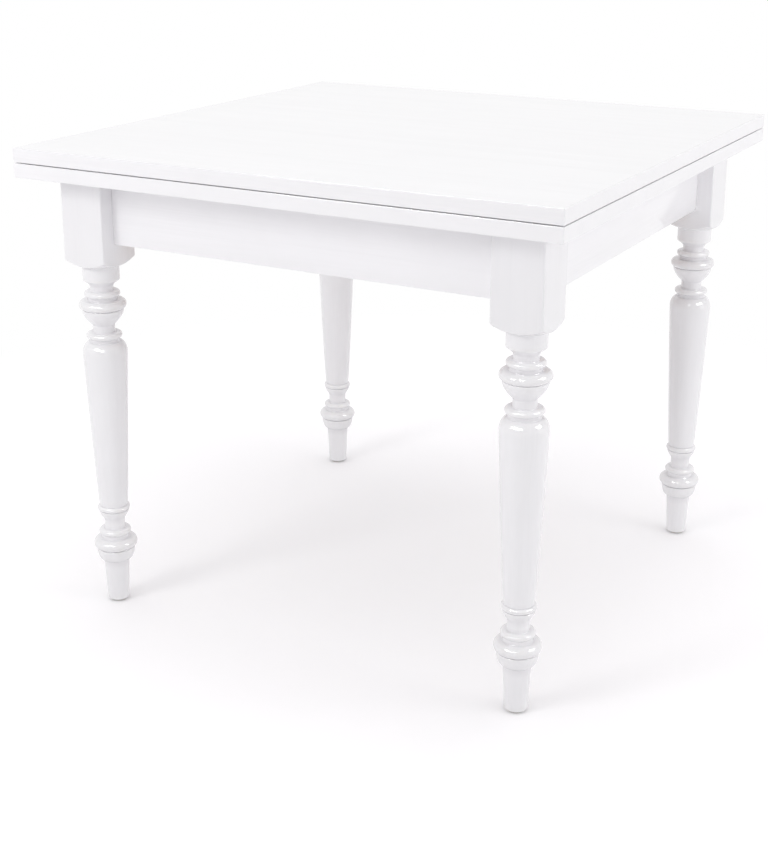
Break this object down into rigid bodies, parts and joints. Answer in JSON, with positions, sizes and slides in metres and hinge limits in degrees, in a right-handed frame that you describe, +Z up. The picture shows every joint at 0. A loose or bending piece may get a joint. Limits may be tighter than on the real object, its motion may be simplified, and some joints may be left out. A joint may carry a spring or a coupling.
{
  "type": "flip-top dining table",
  "caption": "Square dining table on turned legs; its double top slides forward and the upper leaf flips over on hinges, doubling the surface.",
  "frame": {"origin": "on the floor, under the centre of the closed top", "axes": "+X right along the front edge, +Y to the rear, where the hinges are, +Z up"},
  "size_m": [0.9, 0.9035, 0.77],
  "materials": {
    "white_lacquer": "satin white lacquer on wood",
    "beech": "plain planed beech",
    "brass": "satin",
    "zinc_steel": "zinc plated",
    "glide_nylon": "matt",
    "stop_rubber": "matt",
    "felt": "pressed felt",
    "buffer_plastic": "clear soft plastic"
  },
  "bodies": {
    "base": {"leg_front_left": "white_lacquer", "leg_front_right": "white_lacquer", "leg_rear_left": "white_lacquer", "leg_rear_right": "white_lacquer", "apron_front": "white_lacquer", "apron_rear": "white_lacquer", "apron_left": "white_lacquer", "apron_right": "white_lacquer", "corner_block_front_left": "beech", "corner_block_front_right": "beech", "corner_block_rear_left": "beech", "corner_block_rear_right": "beech", "hanger_bolts": "zinc_steel", "hanger_washers": "zinc_steel", "hanger_nuts": "zinc_steel", "corner_screws": "zinc_steel", "foot_glides": "glide_nylon", "guide_left": "beech", "guide_right": "beech", "slide_stops": "stop_rubber", "felt_left": "felt", "felt_right": "felt"},
    "lower_leaf": {"lower_leaf": "white_lacquer", "lower_lipping": "white_lacquer", "runner_left": "beech", "runner_right": "beech", "runner_screws": "zinc_steel", "lower_hinges": "brass", "hinge_pins": "brass", "lower_hinge_screws": "brass", "leaf_buffers": "buffer_plastic"},
    "upper_leaf": {"upper_leaf": "white_lacquer", "upper_lipping": "white_lacquer", "upper_hinges": "brass", "upper_hinge_screws": "brass"}
  },
  "joints": [
    {"name": "top_slide", "type": "slide", "parent": "base", "child": "lower_leaf", "axis": [0, -1, 0], "range_m": [0, 0.45]},
    {"name": "leaf_hinge", "type": "hinge", "parent": "lower_leaf", "child": "upper_leaf", "pos_m": [0, 0.4505, 0.74725], "axis": [-1, 0, 0], "range_deg": [0, 180]}
  ]
}
